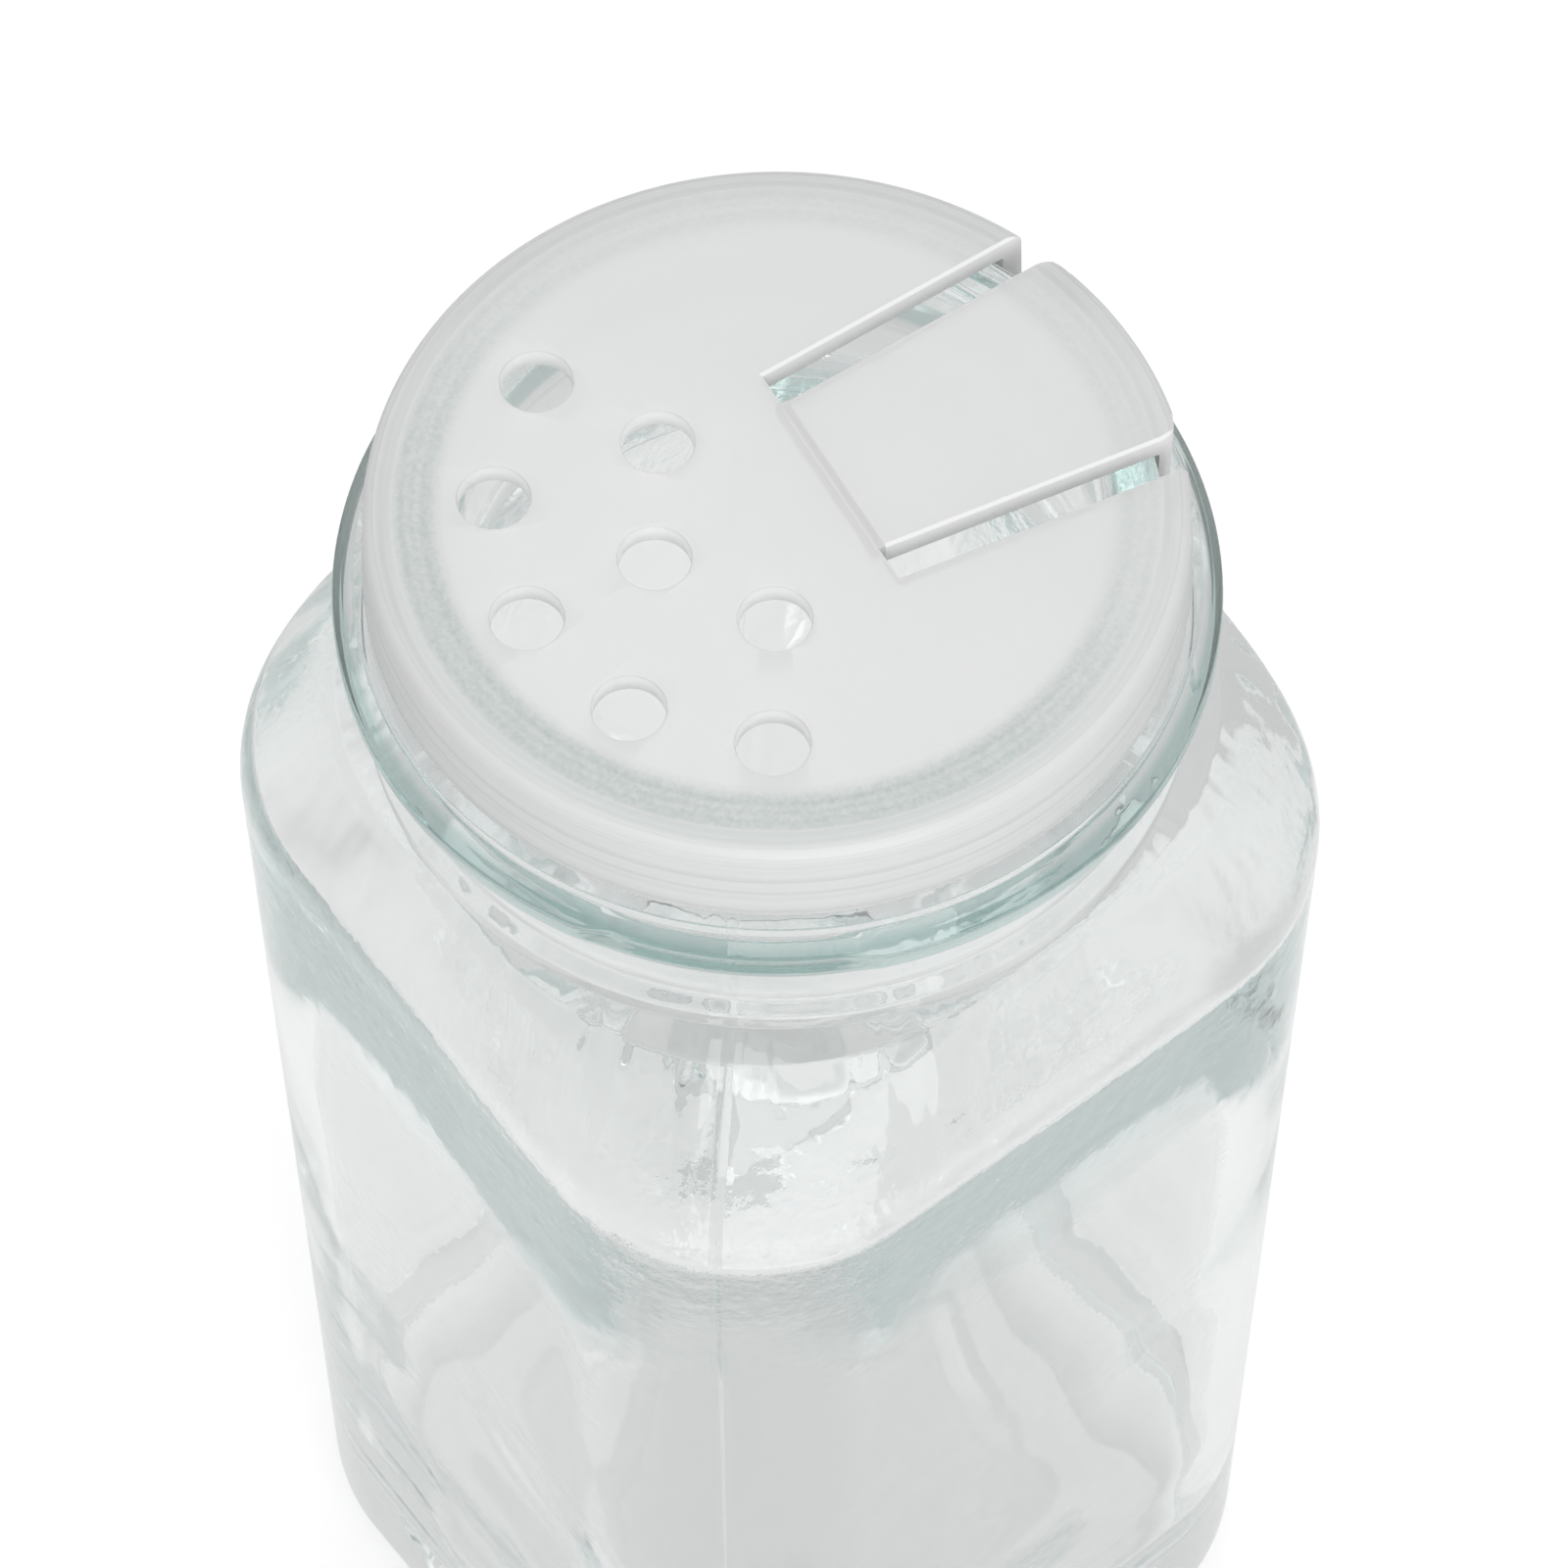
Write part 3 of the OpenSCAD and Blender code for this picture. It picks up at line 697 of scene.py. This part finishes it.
def makeHoleTree():
    # rows of eased cutters on an arc: one instance at each point, each a turned outline
    tree = bpy.data.node_groups.new("sprinkleHoles", "GeometryNodeTree")
    treeInputs(tree, [
        ("Cutter", "NodeSocketGeometry"), ("Count", "NodeSocketInt"), ("Circle Radius", "NodeSocketFloat"),
        ("Middle Turn", "NodeSocketFloat"), ("Spread", "NodeSocketFloat"), ("Material", "NodeSocketMaterial"),
    ])
    tree.interface.new_socket("Geometry", in_out="OUTPUT", socket_type="NodeSocketGeometry")
    given = addNode(tree, "NodeGroupInput").outputs
    line = addNode(tree, "GeometryNodeMeshLine")
    feed(tree, given["Count"], line.inputs["Count"])
    index = addNode(tree, "GeometryNodeInputIndex").outputs[0]
    share = calc(tree, "DIVIDE", index, calc(tree, "SUBTRACT", given["Count"], 1.0))
    angle = calc(tree, "ADD", given["Middle Turn"], calc(tree, "MULTIPLY", calc(tree, "SUBTRACT", share, 0.5), given["Spread"]))
    spot = addNode(tree, "ShaderNodeCombineXYZ")
    feed(tree, calc(tree, "MULTIPLY", given["Circle Radius"], calc(tree, "COSINE", angle)), spot.inputs["X"])
    feed(tree, calc(tree, "MULTIPLY", given["Circle Radius"], calc(tree, "SINE", angle)), spot.inputs["Y"])
    place = addNode(tree, "GeometryNodeSetPosition")
    feed(tree, line.outputs[0], place.inputs["Geometry"])
    feed(tree, spot.outputs[0], place.inputs["Position"])
    copies = addNode(tree, "GeometryNodeInstanceOnPoints")
    feed(tree, place.outputs[0], copies.inputs["Points"])
    feed(tree, given["Cutter"], copies.inputs["Instance"])
    real = addNode(tree, "GeometryNodeRealizeInstances")
    feed(tree, copies.outputs[0], real.inputs["Geometry"])
    finish = addNode(tree, "GeometryNodeSetMaterial")
    feed(tree, real.outputs[0], finish.inputs["Geometry"])
    feed(tree, given["Material"], finish.inputs["Material"])
    out = addNode(tree, "NodeGroupOutput")
    feed(tree, finish.outputs[0], out.inputs[0])
    return tree


holeTree = makeHoleTree()


def holeCutters(name, count, circle, spread):
    i = insert
    r, e = i["holeDiameter"] / 2, i["edge"]
    rows = [(0, i["under"] - 1), (r + e, i["under"] - 1), (r + e, i["under"]), (r + e * 0.3, i["under"] + e * 0.35),
            (r, i["under"] + e), (r, i["top"] - e), (r + e * 0.3, i["top"] - e * 0.35), (r + e, i["top"]),
            (r + e * 2, i["top"] + 1), (0, i["top"] + 1)]
    cutter = loft(name + "One", [(x, x, z, 0, 0, 0) for x, z in rows], plasticMaterial, 48)
    modifier = cutter.modifiers.new("rows", "NODES")
    modifier.node_group = holeTree
    setInputs(modifier, holeTree, {
        "Count": count, "Circle Radius": circle * mm, "Middle Turn": math.radians(i["turn"] + 180),
        "Spread": math.radians(spread), "Material": plasticMaterial,
    })
    made = plainCopy(cutter, name)
    throwAway(cutter)
    return made


def cut(piece, cutters, operation="DIFFERENCE"):
    for cutter in cutters:
        modifier = piece.modifiers.new("cut", "BOOLEAN")
        modifier.operation = operation
        modifier.solver = "EXACT"
        modifier.object = cutter
    made = plainCopy(piece, piece.name + "Cut")
    throwAway(piece)
    return made


def smoothByAngle(piece, degrees=35):
    work = bmesh.new()
    work.from_mesh(piece.data)
    for edge in work.edges:
        edge.smooth = len(edge.link_faces) == 2 and edge.calc_face_angle(0) < math.radians(degrees)
    for polygon in work.faces:
        polygon.smooth = True
    work.to_mesh(piece.data)
    work.free()


outerHoles = holeCutters("outerHoles", 5, insert["outerCircle"], 120)
innerHoles = holeCutters("innerHoles", 3, insert["innerCircle"], 120)
opening = flapSolid("flapOpening", insert["hingeAt"], insert["slot"])
halfStrip, halfFlap = insert["strip"] / 2, insert["flapWidth"] / 2
stripX = (insert["hingeAt"] - halfStrip, insert["hingeAt"] + 1)
notch = meshObject("hingeNotch", turned([
    (x, y, z) for x in stripX for y in (-halfFlap, halfFlap) for z in (insert["under"] - 1, insert["top"] + 1)]),
    [(0, 1, 3, 2), (4, 6, 7, 5), (0, 4, 5, 1), (2, 3, 7, 6), (0, 2, 6, 4), (1, 5, 7, 3)])

plate = cut(insertBlank("plateBlank"), [opening, notch, outerHoles, innerHoles])
plate.name = "shakerInsert"
smoothByAngle(plate)
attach(plate, "insert")
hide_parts("shaker_insert")

flapShape = flapSolid("flapShape", insert["hingeAt"] + halfStrip, -0.0001)
flap = cut(insertBlank("flapBlank"), [flapShape], "INTERSECT")
flap.name = "pourFlap"
smoothByAngle(flap)
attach(flap, "flap")
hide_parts("pour_flap")
throwAway(opening, notch, outerHoles, innerHoles, flapShape)
print("insert cut:", len(plate.data.polygons), "and", len(flap.data.polygons), "faces")


def hingeStrip():
    # thin strip, hollowed a little underneath at its middle
    i = insert
    columns = 12
    points, faces = [], []
    for n in range(columns + 1):
        s = n / columns
        x = i["hingeAt"] - halfStrip + i["strip"] * s
        thickness = i["top"] - i["under"] - (i["top"] - i["under"] - i["stripThickness"]) * math.sin(math.pi * s) ** 0.8
        for y, z in ((-halfFlap, i["top"] - thickness), (halfFlap, i["top"] - thickness), (halfFlap, i["top"]), (-halfFlap, i["top"])):
            points.append((x, y, z))
    for n in range(columns):
        for k in range(4):
            m = (k + 1) % 4
            faces.append((n * 4 + k, n * 4 + m, n * 4 + 4 + m, n * 4 + 4 + k))
    faces += [(3, 2, 1, 0), tuple(columns * 4 + k for k in range(4))]
    strip = meshObject("flapHinge", turned(points), faces)
    work = bmesh.new()
    work.from_mesh(strip.data)
    bmesh.ops.recalc_face_normals(work, faces=work.faces)
    work.to_mesh(strip.data)
    work.free()
    strip.data.materials.append(plasticMaterial)
    return strip


strip = hingeStrip()
smoothByAngle(strip)
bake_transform(strip)
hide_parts("flap_hinge")
print("hinge strip made")

# ---- floor, light and camera

stage = {"floorSize": 0.8, "floorColour": (0.62, 0.62, 0.62, 1), "cameraGlow": 0.48, "glassGlow": 0.31,
         "glowReach": (0.056, 0.104), "diffuseLevel": 0.82, "horizonLevel": 0.60, "zenithLevel": 1.0, "keyWatts": 0.6,
         "frontWatts": 3.5}


def floorGlow(tree):
    # the floor looks white to the camera, and a little brighter than it is in glass and gloss
    path = addNode(tree, "ShaderNodeLightPath")
    through = calc(tree, "MAXIMUM", path.outputs["Is Glossy Ray"], path.outputs["Is Transmission Ray"])
    # painted light: in glass this glow is a pool of light round the jar, fading with the distance from the jar
    where = addNode(tree, "ShaderNodeVectorMath", operation="LENGTH")
    feed(tree, addNode(tree, "ShaderNodeTexCoord").outputs["Object"], where.inputs[0])
    near, far = stage["glowReach"]
    through = calc(tree, "MULTIPLY", through, mapRange(tree, where.outputs["Value"], near, far, 1.0, 0.0))
    return calc(tree, "ADD", calc(tree, "MULTIPLY", path.outputs["Is Camera Ray"], stage["cameraGlow"]),
                calc(tree, "MULTIPLY", through, stage["glassGlow"]))


def makeFloor():
    size = stage["floorSize"] / 2
    floor = meshObject("floor", [(-size, -size, 0), (size, -size, 0), (size, size, 0), (-size, size, 0)], [(0, 1, 2, 3)])
    material, tree, shader = newMaterial("paleFloor")
    shader.inputs["Base Color"].default_value = stage["floorColour"]
    shader.inputs["Roughness"].default_value = 0.9
    shader.inputs["Specular IOR Level"].default_value = 0.0
    shader.inputs["Emission Color"].default_value = (1, 1, 1, 1)
    feed(tree, floorGlow(tree), shader.inputs["Emission Strength"])
    floor.data.materials.append(material)


def makeWorld():
    world = bpy.data.worlds.new("studio")
    world.use_nodes = True
    scene.world = world
    tree = world.node_tree
    back = tree.nodes["Background"]
    direction = addNode(tree, "ShaderNodeSeparateXYZ")
    feed(tree, addNode(tree, "ShaderNodeTexCoord").outputs["Generated"], direction.inputs[0])
    rising = mapRange(tree, direction.outputs["Z"], 0.1, 0.8, stage["horizonLevel"], stage["zenithLevel"])
    path = addNode(tree, "ShaderNodeLightPath")

    def instead(level, ray, value):
        return calc(tree, "ADD", calc(tree, "MULTIPLY", level, calc(tree, "SUBTRACT", 1.0, path.outputs[ray])),
                    calc(tree, "MULTIPLY", value, path.outputs[ray]))

    level = instead(instead(rising, "Is Diffuse Ray", stage["diffuseLevel"]), "Is Camera Ray", 1.0)
    back.inputs["Color"].default_value = (1, 1, 1, 1)
    feed(tree, level, back.inputs["Strength"])


def softLight(name, place, aim, size, watts):
    data = bpy.data.lights.new(name, "AREA")
    data.shape = "RECTANGLE"
    data.size, data.size_y = size
    data.energy = watts
    lamp = bpy.data.objects.new(name, data)
    lamp.location = place
    lamp.rotation_mode = "QUATERNION"
    lamp.rotation_quaternion = (Vector(aim) - Vector(place)).to_track_quat("-Z", "Y")
    scene.collection.objects.link(lamp)
    return lamp


makeFloor()
makeWorld()
softLight("overheadSoftbox", (-0.25, 0.35, 0.9), (0, 0, 0.06), (0.8, 0.6), stage["keyWatts"])
softLight("frontSoftbox", (0.75, -0.35, 0.45), (0, 0, 0.06), (0.7, 0.7), stage["frontWatts"])

view = {"distance": 0.2870, "elevation": 56.37, "azimuth": 51.63, "pitch": 58.97, "yaw": 0.10, "roll": -0.18,
        "target": 0.1057, "lens": 143.6}


def makeCamera():
    data = bpy.data.cameras.new("camera")
    data.lens = view["lens"]
    data.sensor_width = 36.0
    data.clip_start, data.clip_end = 0.01, 20.0
    camera = bpy.data.objects.new("camera", data)
    a, e = math.radians(view["azimuth"]), math.radians(view["elevation"])
    camera.location = (view["distance"] * math.cos(e) * math.sin(a), -view["distance"] * math.cos(e) * math.cos(a),
                       view["target"] + view["distance"] * math.sin(e))
    turn = (Matrix.Rotation(math.radians(view["azimuth"] - view["yaw"]), 3, "Z")
            @ Matrix.Rotation(math.radians(90 - view["pitch"]), 3, "X")
            @ Matrix.Rotation(math.radians(view["roll"]), 3, "Z"))
    camera.rotation_euler = turn.to_euler()
    scene.collection.objects.link(camera)
    scene.camera = camera


makeCamera()
scene.view_settings.view_transform = "Standard"
scene.cycles.max_bounces = 40
scene.cycles.transmission_bounces = 40
scene.cycles.glossy_bounces = 40
scene.cycles.transparent_max_bounces = 16
print("floor, light and camera made")
